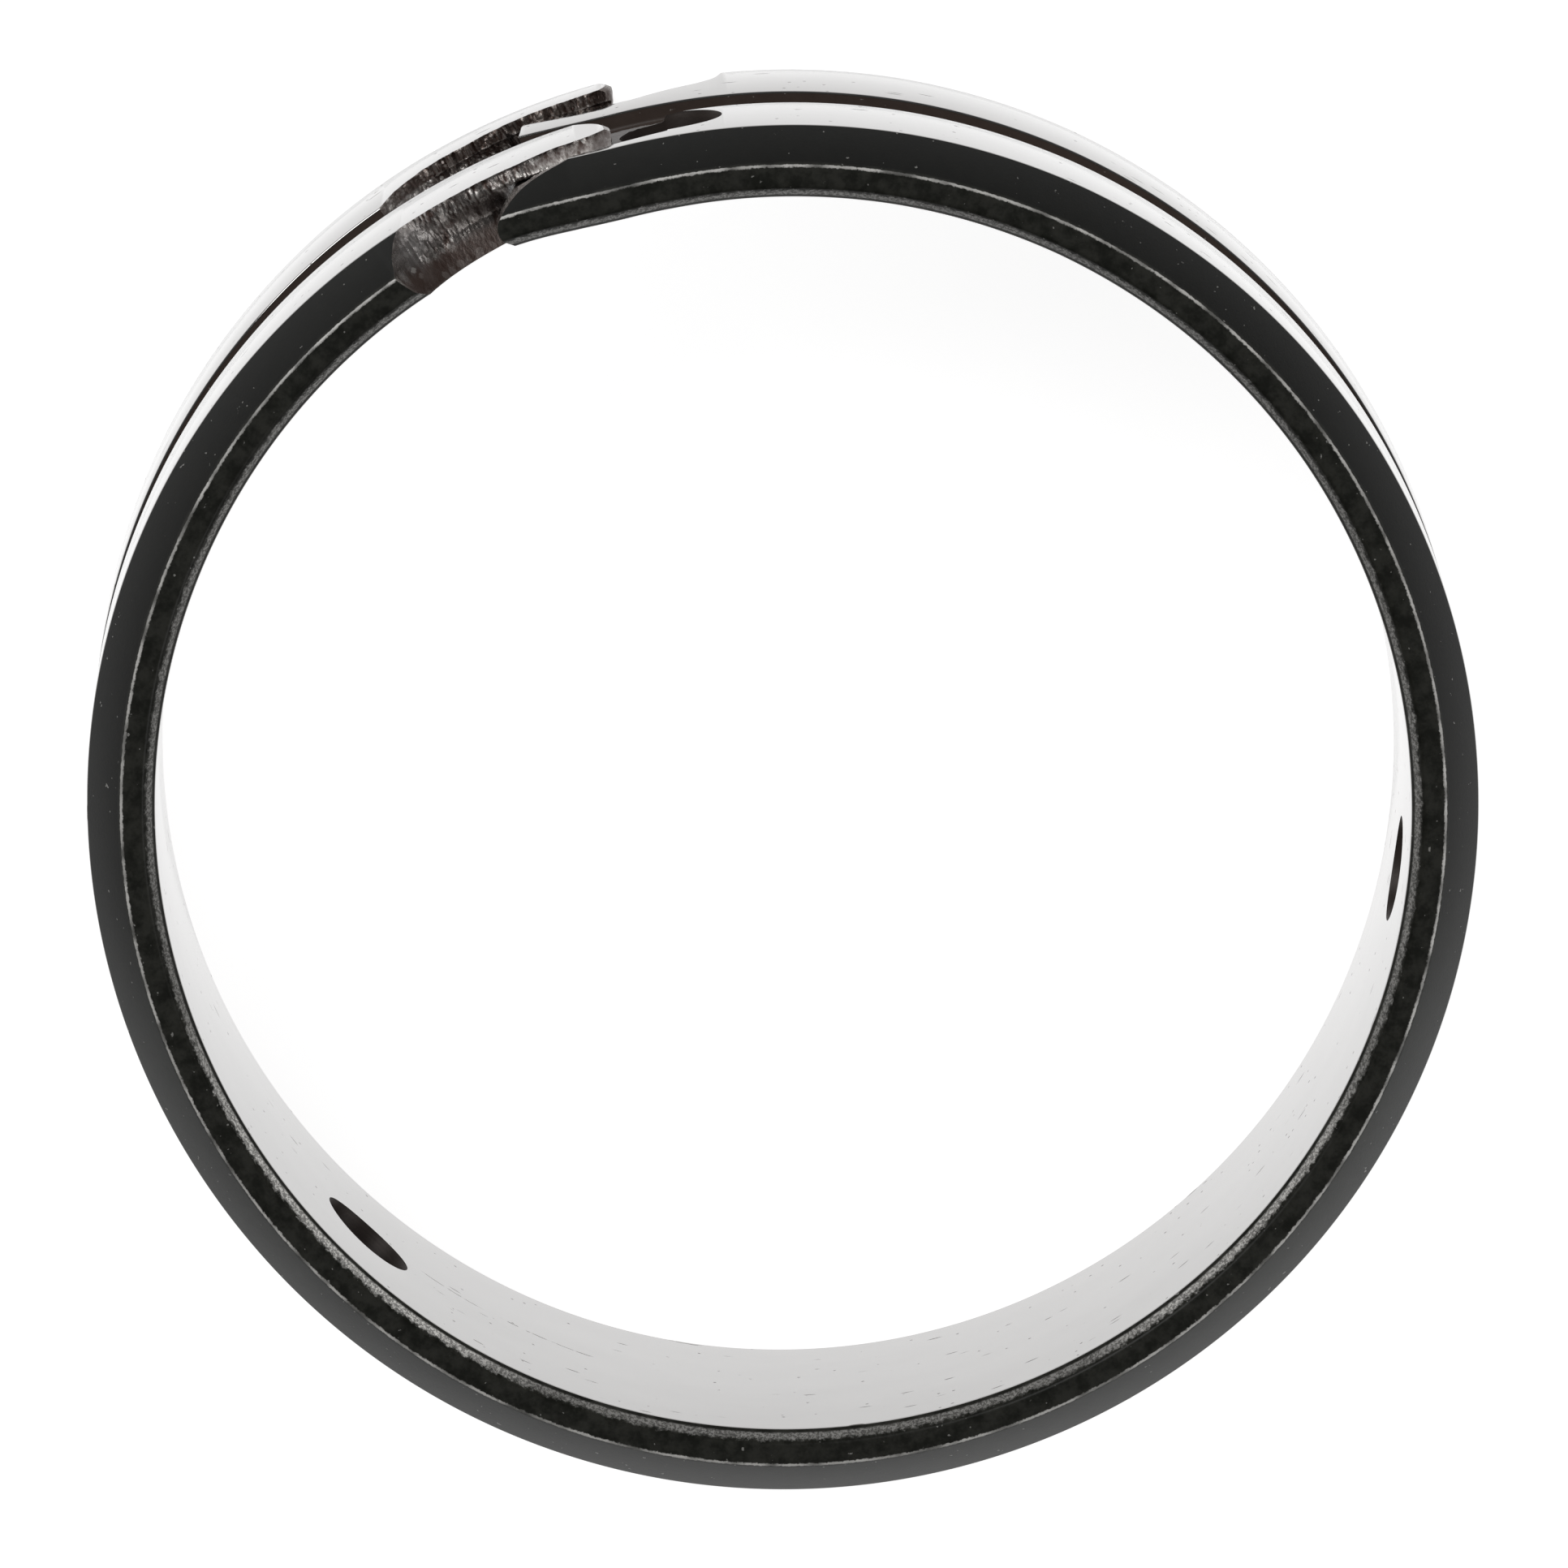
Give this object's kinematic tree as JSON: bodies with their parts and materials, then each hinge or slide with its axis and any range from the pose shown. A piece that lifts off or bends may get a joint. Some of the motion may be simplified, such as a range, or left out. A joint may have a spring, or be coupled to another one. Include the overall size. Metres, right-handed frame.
{
  "type": "split ring collar",
  "caption": "Thin polished steel ring with an outer oil groove and radial oil holes, broken through so that it springs open, worn on a shaft as a collar or bearing race.",
  "frame": {"origin": "on the bore's axis, in the plane of the ring's lower face", "axes": "+Z along the bore's axis, towards the upper face; the break is in the +Y half, about 20 degrees anticlockwise of +Y"},
  "size_m": [0.0723, 0.072, 0.022],
  "materials": {
    "ring_steel": "ground and polished, with dull grey-brown broken surfaces"
  },
  "bodies": {
    "ring_back": {"ring_back": "ring_steel"},
    "left_arm": {"left_arm": "ring_steel"},
    "right_arm": {"right_arm": "ring_steel"}
  },
  "joints": [
    {"name": "left_arm_flex", "type": "hinge", "parent": "ring_back", "child": "left_arm", "pos_m": [-0.02662, -0.02155, 0.011], "axis": [0, 0, 1], "range_deg": [0, 3.5], "stiffness_Nm_per_rad": 5},
    {"name": "right_arm_flex", "type": "hinge", "parent": "ring_back", "child": "right_arm", "pos_m": [0.03424, 0.0006, 0.011], "axis": [0, 0, 1], "range_deg": [-3.5, 0], "stiffness_Nm_per_rad": 5}
  ],
  "couplings": [
    {"joint": "right_arm_flex", "follows": "left_arm_flex", "ratio": -1}
  ]
}
